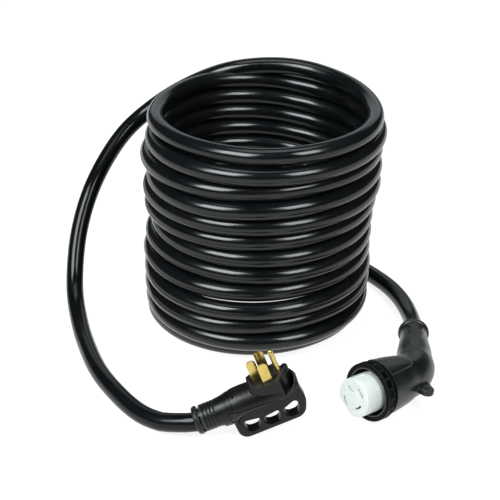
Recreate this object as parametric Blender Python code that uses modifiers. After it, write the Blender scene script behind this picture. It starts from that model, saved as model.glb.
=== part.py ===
# Shore power cord: a stiff 25.4 mm cable wound into an upright helix of about
# thirteen turns, with a four-blade right-angle plug (finger-hole handle) on one
# end and a 45 degree twist-lock connector with a threaded locking ring on the other.
import bpy, bmesh, math
from mathutils import Vector, Matrix

MM = 0.001
CORD_D = 25.4            # outer jacket of the cord, mm
CORD_R = CORD_D / 2.0
GAP = 0.3                # clearance between neighbouring solids, mm

# bottom centre of the whole object, measured in the layout axes (mm)
BASE_X, BASE_Y = -18.44, -69.25

# ---- coil ----
COIL_TURNS = 13
COIL_PITCH = 24.45
COIL_R = 156.0           # centreline radius
COIL_X = 5.0             # coil axis, layout x
RIDGE_OUT = 12.6
GROOVE_OUT = 7.6
COIL_TOP = 321.0

# ---- plug ----
PLUG_O = (0.836, -12.418, 2.491)        # cord diameters
PLUG_YAW, PLUG_RISE, PLUG_ROLL = 8.5, 20.0, 0.6
FACE_B = 24.8            # face height over the plug axis
HOT_C = 15.0             # half of hot to hot spacing
NEUTRAL_A = -12.8
GROUND_A = 16.05
BLADE_W, BLADE_T, BLADE_L = 12.7, 1.9, 29.3
PIN_D, PIN_L = 7.0, 34.6
HANDLE_T = 18.0
# finger holes: outlines in the plane of the handle, flat-topped under the body
HOLES = (((-50.6, -22.8), (-29.6, -26.0), (-29.6, -42.2), (-50.6, -42.2)),
         ((-24.4, -27.8), (-2.6, -25.0), (-2.6, -42.4), (-24.4, -42.4)),
         ((3.2, -27.2), (23.8, -19.0), (23.8, -42.0), (3.2, -42.0)))
HOLE_R = ((4.0, 2.5, 8.5, 8.5), (3.0, 3.0, 8.5, 8.5), (4.0, 4.0, 8.5, 8.5))
CORD_END_A = -61.5

# ---- connector ----
CONN_O = (5.70, -11.30, 1.606)          # cord diameters, centre of the ring's front plane
CONN_YAW, CONN_PITCH = 40.1, 5.6
RING_R, RING_IN, RING_W = 39.7, 34.2, 13.4
BODY_FRONT_T = -13.8
CARRIER_R, CARRIER_FRONT = 26.6, 24.9

MATS = {}


def material(name, color, rough, metal=0.0):
    m = bpy.data.materials.new(name)
    m.use_nodes = True
    p = m.node_tree.nodes["Principled BSDF"]
    p.inputs["Base Color"].default_value = (color[0], color[1], color[2], 1.0)
    p.inputs["Roughness"].default_value = rough
    p.inputs["Metallic"].default_value = metal
    MATS[name] = m
    return m


def clean():
    for o in list(bpy.data.objects):
        bpy.data.objects.remove(o, do_unlink=True)
    for c in list(bpy.data.collections):
        bpy.data.collections.remove(c)


clean()
material("cord_jacket", (0.012, 0.013, 0.014), 0.32)
material("plug_rubber", (0.018, 0.019, 0.022), 0.42)
material("connector_rubber", (0.020, 0.023, 0.023), 0.40)
material("ring_plastic", (0.014, 0.015, 0.016), 0.38)
material("face_plastic", (0.016, 0.017, 0.018), 0.5)
material("carrier_white", (0.86, 0.89, 0.87), 0.38)
material("brass_blade", (0.78, 0.57, 0.20), 0.28, 1.0)
material("brass_contact", (0.72, 0.52, 0.20), 0.35, 1.0)
material("zinc_screw", (0.60, 0.61, 0.62), 0.35, 1.0)
material("seal_rubber", (0.015, 0.015, 0.015), 0.7)
material("wire_black", (0.02, 0.02, 0.02), 0.5)
material("wire_red", (0.45, 0.02, 0.02), 0.5)
material("wire_white", (0.75, 0.75, 0.72), 0.5)
material("wire_green", (0.02, 0.30, 0.06), 0.5)

PARTS = bpy.data.collections.new("shore_power_cord")
CUTS = bpy.data.collections.new("cutters")
bpy.context.scene.collection.children.link(PARTS)
bpy.context.scene.collection.children.link(CUTS)


def to_world(v):
    """Layout point in cord diameters -> world metres."""
    return Vector(((v[0] * CORD_D - BASE_X) * MM, (v[1] * CORD_D - BASE_Y) * MM, v[2] * CORD_D * MM))


def frame_matrix(origin, ex, ey, ez):
    m = Matrix.Identity(4)
    for i in range(3):
        m[i][0], m[i][1], m[i][2] = ex[i], ey[i], ez[i]
        m[i][3] = origin[i]
    return m


yaw, rise, roll = (math.radians(v) for v in (PLUG_YAW, PLUG_RISE, PLUG_ROLL))
AX_A = Vector((math.cos(rise) * math.cos(yaw), math.cos(rise) * math.sin(yaw), math.sin(rise)))
side = Vector((-math.sin(yaw), math.cos(yaw), 0.0))
upv = AX_A.cross(side)
AX_B = math.cos(roll) * upv + math.sin(roll) * side
AX_C = AX_A.cross(AX_B)
# plug local axes: x along the cord to the head, y away from the front, z along the blades
PLUG_M = frame_matrix(to_world(PLUG_O), AX_A, -AX_C, AX_B)

cyaw, cpit = math.radians(CONN_YAW), math.radians(CONN_PITCH)
AX_M = Vector((-math.cos(cpit) * math.cos(cyaw), -math.cos(cpit) * math.sin(cyaw), math.sin(cpit)))
AX_S = AX_M.cross(Vector((0, 0, 1))).normalized()
AX_V = AX_S.cross(AX_M)
# connector local axes: x out of the mouth, y = -s, z up
CONN_M = frame_matrix(to_world(CONN_O), AX_M, -AX_S, AX_V)


def add_mesh(name, bm, mat, M=None, coll=None, smooth=35.0):
    bmesh.ops.remove_doubles(bm, verts=bm.verts, dist=1e-7)
    bmesh.ops.recalc_face_normals(bm, faces=bm.faces)
    me = bpy.data.meshes.new(name)
    bm.to_mesh(me)
    bm.free()
    ob = bpy.data.objects.new(name, me)
    (coll or PARTS).objects.link(ob)
    if M is not None:
        ob.matrix_world = M
    if mat:
        me.materials.append(MATS[mat])
    for p in me.polygons:
        p.use_smooth = True
    me.set_sharp_from_angle(angle=math.radians(smooth))
    return ob


def bm_loft(rings, closed=False):
    """Skin equal-count rings (mm) into one closed body."""
    bm = bmesh.new()
    vr = [[bm.verts.new(Vector(p) * MM) for p in ring] for ring in rings]
    n = len(rings[0])
    k = len(vr)
    for i in range(k if closed else k - 1):
        r0, r1 = vr[i], vr[(i + 1) % k]
        for j in range(n):
            bm.faces.new((r0[j], r0[(j + 1) % n], r1[(j + 1) % n], r1[j]))
    if not closed:
        bm.faces.new(list(reversed(vr[0])))
        bm.faces.new(vr[-1])
    return bm


def bm_prism(outline, lo, hi, axis):
    """Extrude a 2-D outline (mm) between two heights along the named axis."""
    def at(p, h):
        if axis == "y":
            return (p[0], h, p[1])
        if axis == "x":
            return (h, p[0], p[1])
        return (p[0], p[1], h)
    return bm_loft([[at(p, lo) for p in outline], [at(p, hi) for p in outline]])


def bm_box(lo, hi):
    return bm_prism([(lo[0], lo[1]), (hi[0], lo[1]), (hi[0], hi[1]), (lo[0], hi[1])], lo[2], hi[2], "z")


def bm_cyl(center, axis, r, lo, hi, n=24, r2=None):
    r2 = r if r2 is None else r2
    rings = []
    for h, rr in ((lo, r), (hi, r2)):
        ring = []
        for j in range(n):
            t = 2 * math.pi * j / n
            u, w = rr * math.cos(t), rr * math.sin(t)
            if axis == "x":
                ring.append((h, center[0] + u, center[1] + w))
            elif axis == "y":
                ring.append((center[0] + u, h, center[1] + w))
            else:
                ring.append((center[0] + u, center[1] + w, h))
        rings.append(ring)
    return bm_loft(rings)


def turned(profile, n=40):
    """Revolve (axial, radius) pairs about local x; the profile is a closed loop."""
    rings = []
    for x, r in profile:
        rings.append([(x, r * math.cos(2 * math.pi * j / n), r * math.sin(2 * math.pi * j / n)) for j in range(n)])
    return bm_loft(rings, closed=True)


def cutter(name, bm, M):
    ob = add_mesh(name, bm, None, M, CUTS)
    ob.hide_render = True
    ob.display_type = "WIRE"
    return ob


def boolean(ob, other, op):
    md = ob.modifiers.new(op.lower() + "_" + other.name, "BOOLEAN")
    md.operation = op
    md.solver = "EXACT"
    md.object = other


def bevel(ob, width, segs=2, angle=40.0):
    md = ob.modifiers.new("edge_round", "BEVEL")
    md.width = width * MM
    md.segments = segs
    md.limit_method = "ANGLE"
    md.angle_limit = math.radians(angle)


def rounded(points, radii, seg=4):
    """Polygon with rounded corners; radii one per corner."""
    out = []
    n = len(points)
    for i in range(n):
        p0, p1, p2 = Vector(points[i - 1]), Vector(points[i]), Vector(points[(i + 1) % n])
        r = radii[i] if isinstance(radii, (list, tuple)) else radii
        if r <= 0:
            out.append((p1.x, p1.y))
            continue
        u, v = (p0 - p1).normalized(), (p2 - p1).normalized()
        ang = u.angle(v)
        d = r / math.tan(ang / 2)
        c = p1 + (u + v).normalized() * (r / math.sin(ang / 2))
        a0 = math.atan2((p1 + u * d - c).y, (p1 + u * d - c).x)
        a1 = math.atan2((p1 + v * d - c).y, (p1 + v * d - c).x)
        da = (a1 - a0 + math.pi) % (2 * math.pi) - math.pi
        for k in range(seg + 1):
            t = a0 + da * k / seg
            out.append((c.x + r * math.cos(t), c.y + r * math.sin(t)))
    return out


def catmull(ctrl, step):
    """Even points along a smooth curve through the control points."""
    P = [Vector(c) for c in ctrl]
    P = [P[0] * 2 - P[1]] + P + [P[-1] * 2 - P[-2]]
    fine = []
    for i in range(1, len(P) - 2):
        for k in range(24):
            t = k / 24
            fine.append(0.5 * ((2 * P[i]) + (P[i + 1] - P[i - 1]) * t
                        + (2 * P[i - 1] - 5 * P[i] + 4 * P[i + 1] - P[i + 2]) * t * t
                        + (3 * P[i] - 3 * P[i + 1] + P[i + 2] - P[i - 1]) * t ** 3))
    fine.append(P[-2])
    total = sum((fine[i + 1] - fine[i]).length for i in range(len(fine) - 1))
    n = max(2, int(round(total / step)))
    out, acc, want = [fine[0]], 0.0, total / n
    for i in range(len(fine) - 1):
        seg = (fine[i + 1] - fine[i]).length
        while acc + seg >= want * len(out) - 1e-9 and len(out) < n:
            f = (want * len(out) - acc) / seg
            out.append(fine[i].lerp(fine[i + 1], f))
        acc += seg
    out.append(fine[-1])
    return out


def tube(name, pts, radius, mat, M=None, res=3):
    """Round tube along points (metres)."""
    cu = bpy.data.curves.new(name, "CURVE")
    cu.dimensions = "3D"
    sp = cu.splines.new("POLY")
    sp.points.add(len(pts) - 1)
    for i, p in enumerate(pts):
        sp.points[i].co = (p[0], p[1], p[2], 1.0)
    cu.bevel_depth = radius * MM
    cu.bevel_resolution = res
    cu.use_fill_caps = True
    cu.resolution_u = 1
    cu.render_resolution_u = 0
    cu.materials.append(MATS[mat])
    ob = bpy.data.objects.new(name, cu)
    PARTS.objects.link(ob)
    if M is not None:
        ob.matrix_world = M
    return ob


def superring(x, w, top, bot, nt=2.0, nb=2.0, n=32, zc=0.0):
    """Cross-section at x: half width w, height top above and bot below zc."""
    ring = []
    for j in range(n):
        t = 2 * math.pi * j / n
        c, s = math.cos(t), math.sin(t)
        e = nt if s >= 0 else nb
        h = top if s >= 0 else bot
        ring.append((x, w * math.copysign(abs(c) ** (2 / e), c), zc + h * math.copysign(abs(s) ** (2 / e), s)))
    return ring


# ------------------------------------------------------------------ coil
def build_coil():
    prof_out, prof_in = [], []
    z0 = 0.0
    h = COIL_TOP / COIL_TURNS
    for k in range(COIL_TURNS):
        zc = z0 + h * (k + 0.5)
        prof_out += [(COIL_R + GROOVE_OUT, zc - 0.5 * h), (COIL_R + RIDGE_OUT, zc - 0.22 * h),
                     (COIL_R + RIDGE_OUT, zc + 0.22 * h)]
        prof_in += [(COIL_R - GROOVE_OUT, zc - 0.5 * h), (COIL_R - RIDGE_OUT, zc - 0.22 * h),
                    (COIL_R - RIDGE_OUT, zc + 0.22 * h)]
    prof_out.append((COIL_R + GROOVE_OUT, COIL_TOP))
    prof_in.append((COIL_R - GROOVE_OUT, COIL_TOP))
    loop = prof_out + list(reversed(prof_in))
    n = 40
    rings = [[(r * math.cos(2 * math.pi * j / n), r * math.sin(2 * math.pi * j / n), z) for j in range(n)]
             for r, z in loop]
    M = Matrix.Translation(to_world((COIL_X / CORD_D, 0, 0)))
    add_mesh("cord_coil", bm_loft(rings, closed=True), "cord_jacket", M)


build_coil()


# ------------------------------------------------------------------ leads
def plug_point(a, b=0.0, c=0.0):
    """Plug-axis point in layout cord diameters."""
    return Vector(PLUG_O) + (AX_A * a + AX_B * b + AX_C * c) / CORD_D


# top of the coil, over the side, down in a long loop to the floor and in to the plug
LEAD_PLUG = [(0.00, 6.20, 13.22), (-1.10, 6.35, 13.21), (-2.25, 6.70, 13.08), (-4.40, 7.15, 11.75),
             (-6.40, 7.80, 10.10), (-8.20, 6.50, 8.50), (-9.75, 3.90, 6.60), (-10.60, 1.97, 4.15),
             (-10.75, -0.10, 1.72), (-10.35, -2.10, 0.86), (-9.74, -4.30, 0.52), (-8.63, -7.46, 0.50),
             (-7.30, -9.85, 0.50), (-6.07, -11.52, 0.50), (-4.95, -12.44, 0.62)]
lead = catmull(LEAD_PLUG + [tuple(plug_point(-112.5))], 1.1) + [plug_point(CORD_END_A)]
tube("cord_lead_plug", [to_world(p) for p in lead], CORD_R, "cord_jacket")

# bottom of the coil, along the floor and into the connector's neck
NECK_START = Vector((8.94, -4.40, 0.95))
ELBOW = Vector((8.46, -8.98, 1.222))
NECK_DIR = (ELBOW - NECK_START).normalized()
LEAD_CONN = [(4.62, 5.72, 0.505), (5.95, 4.72, 0.505), (7.17, 3.49, 0.505), (7.98, 2.28, 0.505), (8.52, 1.10, 0.505),
             (8.87, -0.15, 0.51), (9.06, -1.50, 0.56), (9.08, -2.80, 0.74)]
lead = catmull(LEAD_CONN + [tuple(NECK_START - NECK_DIR * (11.0 / CORD_D))], 1.0) + [NECK_START + NECK_DIR * (44.0 / CORD_D)]
tube("cord_lead_connector", [to_world(p) for p in lead], CORD_R, "cord_jacket")


# ------------------------------------------------------------------ plug body
def lerp_table(table, x):
    if x <= table[0][0]:
        return table[0][1:]
    for (x0, *v0), (x1, *v1) in zip(table, table[1:]):
        if x <= x1:
            t = (x - x0) / (x1 - x0)
            return tuple(p + (q - p) * t for p, q in zip(v0, v1))
    return table[-1][1:]


# station along the cord, half width, height above the axis, depth below it
PLUG_SECTIONS = [(-77.6, 18.3, 18.3, 18.3), (-73.2, 18.6, 18.6, 19.4), (-72.0, 18.8, 18.8, 21.8), (-66, 19.6, 19.6, 22.4), (-58, 21.4, 21.4, 21.2), (-50, 22.8, 22.8, 15.5),
                 (-42, 23.2, 23.2, 10.0), (-32, 23.2, 23.2, 8.4), (8, 23.2, 22.8, 8.2), (17, 22.4, 21.8, 6.2),
                 (24, 19.8, 20.0, 3.6), (28.0, 16.6, 17.4, 2.2), (30.6, 12.6, 14.0, 1.4), (32.0, 8.0, 9.6, 0.8)]
shell = add_mesh("plug_body", bm_loft([superring(*row) for row in PLUG_SECTIONS]), "plug_rubber", PLUG_M)

# raised face block over the head, narrowing round the ground pin
BLOCK = [(-27, -14.4), (-22, -17.6), (-12, -20.0), (4, -21.6), (13.6, -22.2), (17.6, -12.6), (22.5, -9.6), (25.4, -5.0),
         (25.4, 5.0), (22.5, 9.6), (17.6, 12.6), (13.6, 22.2), (4, 21.6), (-12, 20.0), (-22, 17.6), (-27, 14.4)]
# finger-hole handle below the head
HANDLE = rounded([(-63.0, -6.0), (-61.0, -48.8), (28.0, -48.2), (36.4, -25.0), (33.6, -4.0), (35.2, 9.0), (28.6, 21.0), (12.0, 18.0),
                  (4.0, 6.0), (-50.0, 6.0)], [0, 13.0, 12.0, 12.0, 14.0, 9.0, 5.0, 0, 0, 0], 4)
handle = cutter("plug_handle", bm_prism(HANDLE, -HANDLE_T / 2, HANDLE_T / 2, "y"), PLUG_M)
boolean(shell, handle, "UNION")

# cup round the ground pin: the rim slopes down to the front, with a pocket behind it
WEDGE = [(-34.0, -6.4), (13.0, 22.2), (13.0, 40.0), (-34.0, 40.0)]
boolean(shell, cutter("plug_rim_slope", bm_prism(WEDGE, 14.6, 50.0, "x"), PLUG_M), "DIFFERENCE")
POCKET = [(14.9, -19.6), (19.0, -18.6), (23.5, -16.4), (26.8, -13.4), (29.4, -9.4), (31.0, -4.0), (31.0, 5.0), (28.6, 8.3), (14.9, 8.3)]
boolean(shell, cutter("plug_pocket", bm_prism(POCKET, 0.6, 41.0, "z"), PLUG_M), "DIFFERENCE")
NOSE = [(12.0, -12.2), (17.5, -12.2), (22.3, -9.3), (25.1, -4.9), (25.1, 4.9), (22.3, 9.3), (17.5, 12.2), (12.0, 12.2)]
boolean(shell, cutter("plug_nose", bm_prism(NOSE, -1.3, 21.0, "z"), PLUG_M), "UNION")
block = cutter("plug_block", bm_prism(BLOCK, 2.0, FACE_B, "z"), PLUG_M)
boolean(shell, block, "UNION")
boss = cutter("plug_boss", bm_cyl((24.8, 6.0), "z", 4.4, 12.0, FACE_B + 2.4, 14), PLUG_M)
boolean(shell, boss, "UNION")
for i, corners in enumerate(HOLES):
    out = rounded(list(corners), list(HOLE_R[i]), 3)
    boolean(shell, cutter("finger_hole_%d" % (i + 1), bm_prism(out, -30, 30, "y"), PLUG_M), "DIFFERENCE")

# inside: cord bore, wiring chamber and the recess that takes the face plate
CHAMBER = [(-61.2, 14.0, 14.0, 14.0), (-50, 16.4, 16.0, 11.0), (-38, 18.4, 17.4, 5.4), (5.0, 18.4, 17.4, 5.2), (10.4, 17.0, 16.6, 5.0),
           (13.2, 10.8, 15.0, 4.4), (20.0, 7.8, 13.0, 3.4)]
boolean(shell, cutter("plug_chamber", bm_loft([superring(*row, n=24) for row in CHAMBER]), PLUG_M), "DIFFERENCE")
DEEP = [(-23.5, -12.4), (-19.5, -14.2), (-11, -16.8), (4, -18.1), (10.6, -18.1), (15.2, -8.5), (20.5, -6.3),
        (20.5, 6.3), (15.2, 8.5), (10.6, 18.1), (4, 18.1), (-11, 16.8), (-19.5, 14.2), (-23.5, 12.4)]
boolean(shell, cutter("plug_deep", bm_prism(DEEP, 2.7, 19.6, "z"), PLUG_M), "DIFFERENCE")


def scaled(outline, off):
    """Offset a convex outline inwards by off."""
    n = len(outline)
    cx = sum(p[0] for p in outline) / n
    cy = sum(p[1] for p in outline) / n
    res = []
    for i in range(n):
        p0, p1, p2 = Vector(outline[i - 1]), Vector(outline[i]), Vector(outline[(i + 1) % n])
        e1, e2 = (p1 - p0).normalized(), (p2 - p1).normalized()
        n1, n2 = Vector((-e1.y, e1.x)), Vector((-e2.y, e2.x))
        if n1.dot(Vector((cx, cy)) - p1) < 0:
            n1, n2 = -n1, -n2
        b = (n1 + n2).normalized()
        res.append(tuple(p1 + b * (off / max(0.5, b.dot(n1)))))
    return res


RECESS = scaled(BLOCK, 1.9)
boolean(shell, cutter("plug_recess", bm_prism(RECESS, 18.6, 40.0, "z"), PLUG_M), "DIFFERENCE")
boolean(shell, cutter("plug_bore", bm_cyl((0, 0), "x", CORD_R + 0.5, -90, -60.5, 32), PLUG_M), "DIFFERENCE")

# face plate that carries the blades
face = add_mesh("plug_face", bm_prism(scaled(BLOCK, 1.9 + GAP), 18.6 + GAP, FACE_B + 0.3, "z"), "face_plastic", PLUG_M)
SLOT = GAP
for nm, ca, cc, dw, dt in (("neutral", NEUTRAL_A, 0.0, BLADE_W, BLADE_T), ("line_1", 0.0, HOT_C, BLADE_W, BLADE_T),
                           ("line_2", 0.0, -HOT_C, BLADE_W, BLADE_T)):
    lo, hi = (ca - dw / 2, -cc - dt / 2), (ca + dw / 2, -cc + dt / 2)
    boolean(face, cutter("slot_" + nm, bm_box((lo[0] - SLOT, lo[1] - SLOT, 10), (hi[0] + SLOT, hi[1] + SLOT, 40)), PLUG_M),
            "DIFFERENCE")
    # blade: chamfered tip above the face, solder tail below it
    top = FACE_B + BLADE_L
    w = dw / 2
    prof = [(-w, FACE_B - 12.5), (w, FACE_B - 12.5), (w, top - 4.0), (w - 3.2, top), (-w + 3.2, top), (-w, top - 4.0)]
    bm = bm_prism([(p[0] + ca, p[1]) for p in prof], -cc - dt / 2, -cc + dt / 2, "y")
    add_mesh("plug_%s_blade" % nm, bm, "brass_blade", PLUG_M, smooth=30)
boolean(face, cutter("slot_ground", bm_cyl((GROUND_A, 0), "z", PIN_D / 2 + SLOT, 10, 40, 20), PLUG_M), "DIFFERENCE")
pin = []
for h, rr in ((FACE_B - 12.5, 3.5), (FACE_B + PIN_L - 5, 3.5), (FACE_B + PIN_L - 2, 3.0), (FACE_B + PIN_L, 1.7)):
    pin.append([(GROUND_A + rr * math.cos(2 * math.pi * j / 16), rr * math.sin(2 * math.pi * j / 16), h) for j in range(16)])
add_mesh("plug_ground_pin", bm_loft(pin), "brass_blade", PLUG_M)

# strain relief: collar, deep groove, then ribs
RELIEF_END = -107.5
prof = [(RELIEF_END, 16.8), (RELIEF_END + 1.2, 18.6), (-101.4, 19.0), (-100.4, 18.4), (-100.2, 15.4), (-97.2, 15.4), (-97.0, 18.2)]
x = -97.0
for k in range(4):
    prof += [(x + 3.3, 18.3), (x + 3.5, 17.0), (x + 4.5, 17.0), (x + 4.7, 18.3)]
    x += 4.7
prof += [(-77.6 - GAP, 18.3), (-77.6 - GAP, CORD_R + 0.5), (RELIEF_END, CORD_R + 0.5)]
add_mesh("plug_strain_relief", turned(prof, 32), "plug_rubber", PLUG_M)

# four insulated conductors from the cord end to the blade tails
WIRE_R = 2.7
TAIL = FACE_B - 12.5 - 0.6
WIRES = {
    "plug_wire_line_1": ("wire_black", [(-60.9, -4.6, 4.6), (-48, -6.5, 6.0), (-34, -11.0, 6.6), (-16, -14.0, 6.0),
                                        (-6.0, -14.6, 5.4), (-0.8, -14.9, 7.0), (0.0, -15.0, 9.2), (0.0, -15.0, TAIL)]),
    "plug_wire_line_2": ("wire_red", [(-60.9, 4.6, 4.6), (-48, 6.5, 6.0), (-34, 11.0, 6.6), (-16, 14.0, 6.0),
                                      (-6.0, 14.6, 5.4), (-0.8, 14.9, 7.0), (0.0, 15.0, 9.2), (0.0, 15.0, TAIL)]),
    "plug_wire_neutral": ("wire_white", [(-60.9, -4.6, -4.6), (-48, -4.0, -3.0), (-34, -2.6, 1.0), (-22, -0.8, 3.0),
                                         (-16.0, 0.0, 4.6), (-13.2, 0.0, 6.8), (-12.8, 0.0, 9.0), (-12.8, 0.0, TAIL)]),
    "plug_wire_ground": ("wire_green", [(-60.9, 4.6, -4.6), (-48, 5.0, -3.4), (-34, 6.6, -0.6), (-16, 7.4, -0.8),
                                        (0, 6.4, 0.0), (9.0, 3.0, 2.2), (14.4, 0.8, 5.0), (GROUND_A, 0.0, 8.6), (GROUND_A, 0.0, TAIL)]),
}
for nm, (mat, ctrl) in WIRES.items():
    tube(nm, [Vector(p) * MM for p in catmull(ctrl, 5.4)], WIRE_R, mat, PLUG_M, 1)

# ------------------------------------------------------------------ connector body
# centreline in connector axes: x out of the mouth
def to_conn(p):
    v = (Vector(p) - Vector(CONN_O)) * CORD_D
    return Vector((v.dot(AX_M), -v.dot(AX_S), v.dot(AX_V)))


neck0 = to_conn(NECK_START)
ndir = Vector((NECK_DIR.dot(AX_M), -NECK_DIR.dot(AX_S), NECK_DIR.dot(AX_V)))
elbow = to_conn(ELBOW)
xdir = Vector((1, 0, 0))
elbow = Vector((elbow.x, 0.0, 0.0))
ndir = (elbow - neck0).normalized()
bend = ndir.angle(xdir)
BEND_R = 46.0
cut = BEND_R * math.tan(bend / 2)
arc_a, arc_b = elbow - ndir * cut, elbow + xdir * cut
perp = (xdir - ndir * xdir.dot(ndir)).normalized()
arc_c = arc_a + perp * BEND_R
neck_len = (arc_a - neck0).length
arc_len = BEND_R * bend
front_len = BODY_FRONT_T - arc_b.x


def centreline(s):
    """Point and direction at arc length s from the cord entry."""
    if s <= neck_len:
        return neck0 + ndir * s, ndir.copy()
    if s <= neck_len + arc_len:
        t = (s - neck_len) / BEND_R
        d = ndir * math.cos(t) + perp * math.sin(t)
        p = arc_c - perp * BEND_R * math.cos(t) + ndir * BEND_R * math.sin(t)
        return p, d
    return arc_b + xdir * (s - neck_len - arc_len), xdir.copy()


zup = ndir.cross(perp).normalized()
if zup.z < 0:
    zup = -zup


def cring(s, r, n=32, squash=1.0):
    p, d = centreline(s)
    w = zup.cross(d).normalized()
    return [tuple(p + (w * math.cos(2 * math.pi * j / n) + zup * (squash * math.sin(2 * math.pi * j / n))) * r)
            for j in range(n)]


END_S = neck_len + arc_len + front_len
E0, E1 = neck_len, neck_len + arc_len
outer = [(6.6, 19.2), (20, 19.9), (38, 21.6), (58, 23.8), (E0 - 16, 25.4), (E0, 27.2), (E0 + 18, 28.0),
         (E1 - 6, 28.8), (E1 + 4, 30.2), (E1 + 18, 33.4), (E1 + 36, 35.8), (END_S - 3.0, 37.5), (END_S - 1.0, 36.8), (END_S, 35.4)]
inner = [(END_S, 31.8), (E1 + 22, 31.4), (E1 + 21.5, 27.4), (E1 + 4, 22.0), (E1 - 8, 19.0), (E0 + 8, 17.0), (42.5, 16.0),
         (41.5, CORD_R + 0.5), (6.6, CORD_R + 0.5)]
rings = [cring(s, r) for s, r in outer] + [cring(s, r) for s, r in inner]
conn = add_mesh("connector_body", bm_loft(rings, closed=True), "connector_rubber", CONN_M)
# nose that the locking ring turns on
nose = cutter("connector_nose", turned([(BODY_FRONT_T - 1.0, 33.9), (-4.0, 33.9), (-4.0, 31.8), (BODY_FRONT_T - 1.0, 31.8)], 32), CONN_M)
boolean(conn, nose, "UNION")
# raised panel on the top of the barrel
def barrel_r(x):
    return lerp_table(outer, x - arc_b.x + E1)[0]


panel_rings = []
for x, half in ((-66.0, 16.0), (-62.0, 22.0), (-44.0, 24.0), (-22.0, 26.0)):
    r = barrel_r(x)
    tt = [math.radians(90 - half + 2 * half * k / 6) for k in range(7)]
    panel_rings.append([(x, (r + 0.9) * math.cos(t), (r + 0.9) * math.sin(t)) for t in tt]
                       + [(x, (r - 1.6) * math.cos(t), (r - 1.6) * math.sin(t)) for t in reversed(tt)])
panel = cutter("connector_panel", bm_loft(panel_rings), CONN_M)
boolean(conn, panel, "UNION")

# tether lug beside the elbow
LUG_C = to_conn((8.895, -10.685, 1.30))
inward = (Vector((elbow.x + 12.0, 0.0)) - LUG_C.xy).normalized()
sidev = Vector((-inward.y, inward.x))
LUG_R = 9.3
LUG = []
for k in range(9):
    t = math.pi * k / 8
    v = LUG_C.xy + sidev * (LUG_R * math.cos(t)) - inward * (LUG_R * math.sin(t))
    LUG.append(tuple(v))
LUG += [tuple(LUG_C.xy - sidev * 15.0 + inward * 24.0), tuple(LUG_C.xy + sidev * 15.0 + inward * 24.0)]
lug = cutter("connector_lug", bm_prism(LUG, LUG_C.z - 3.8, LUG_C.z + 3.8, "z"), CONN_M)
boolean(conn, lug, "UNION")
boolean(conn, cutter("lug_hole", bm_cyl((LUG_C.x, LUG_C.y), "z", 4.2, LUG_C.z - 20, LUG_C.z + 20, 16), CONN_M), "DIFFERENCE")
keep = cutter("connector_core", bm_loft([cring(s, r - 0.05, 32) for s, r in
              ((E0 + 8, 17.0), (E1 - 8, 19.0), (E1 + 4, 22.0), (E1 + 21.5, 27.4))]), CONN_M)
boolean(conn, keep, "DIFFERENCE")

# flange where the cord enters
flange = [cring(s, r) for s, r in ((-7.5, 16.6), (-6.6, 20.0), (-5.2, 21.8), (-0.6, 22.2), (1.0, 21.4), (1.6, 19.4), (6.3, 19.0),
                                   (6.3, CORD_R + 0.5), (-7.5, CORD_R + 0.5))]
add_mesh("connector_strain_relief", bm_loft(flange, closed=True), "connector_rubber", CONN_M)

# locking ring with rectangular grips
ring = add_mesh("locking_ring", turned([(-13.4, 37.8), (-12.2, 39.7), (-1.0, 39.7), (0.0, 38.9), (0.0, 35.0), (-0.8, 34.2),
                                        (-13.4, 34.2)], 48), "ring_plastic", CONN_M)
for k in range(12):
    t = 2 * math.pi * (k + 0.5) / 12
    bm = bm_box((-10.6, -5.4, 38.9), (-3.2, 5.4, 44))
    bmesh.ops.rotate(bm, verts=bm.verts, cent=(0, 0, 0), matrix=Matrix.Rotation(t, 3, "X"))
    boolean(ring, cutter("grip_%02d" % k, bm, CONN_M), "DIFFERENCE")

# clip that keeps the ring on the nose, and the mouth seal
add_mesh("ring_retaining_clip", turned([(-3.6, 33.8), (-1.4, 33.8), (-1.4, 31.9), (-3.6, 31.9)], 32), "face_plastic", CONN_M)
add_mesh("mouth_seal", turned([(-44.0, 30.6), (-40.5, 30.6), (-40.5, 27.1), (-44.0, 27.1)], 32), "seal_rubber", CONN_M)

# white contact carrier with a key flat and four through slots
CX0 = -50.0
carrier_prof = [(CX0, 24.4), (-40, 26.6), (10, 26.6), (CARRIER_FRONT - 1.2, 26.4), (CARRIER_FRONT, 25.4)]
n = 40
carrier = add_mesh("contact_carrier", bm_loft([[(x, r * math.cos(2 * math.pi * j / n), r * math.sin(2 * math.pi * j / n))
                                               for j in range(n)] for x, r in carrier_prof]), "carrier_white", CONN_M)


def polar(r, deg):
    """Face point from radius and angle, seen from the mouth, 0 toward +s, 90 up."""
    return (-r * math.cos(math.radians(deg)), r * math.sin(math.radians(deg)))


def arc_plate(r, deg0, deg1, thick, seg=4, extra=0.0):
    e = math.degrees(extra / r)
    outp = [polar(r + thick / 2 + extra, deg0 - e + (deg1 - deg0 + 2 * e) * k / seg) for k in range(seg + 1)]
    inp = [polar(r - thick / 2 - extra, deg1 + e - (deg1 - deg0 + 2 * e) * k / seg) for k in range(seg + 1)]
    return outp + inp


CONTACTS = {"line_1": (16.8, -55.0, -15.0), "line_2": (14.6, -160.0, -112.0), "neutral": (16.8, 112.0, 155.0)}
for nm, (r, d0, d1) in CONTACTS.items():
    boolean(carrier, cutter("carrier_slot_" + nm, bm_prism(arc_plate(r, d0, d1, 2.2, 4, 0.35), CX0 - 5, 30, "x"), CONN_M), "DIFFERENCE")
    add_mesh("connector_%s_contact" % nm, bm_prism(arc_plate(r, d0 + 1.5, d1 - 1.5, 1.4), CX0 - 6, 12.0, "x"), "brass_contact", CONN_M)


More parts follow.
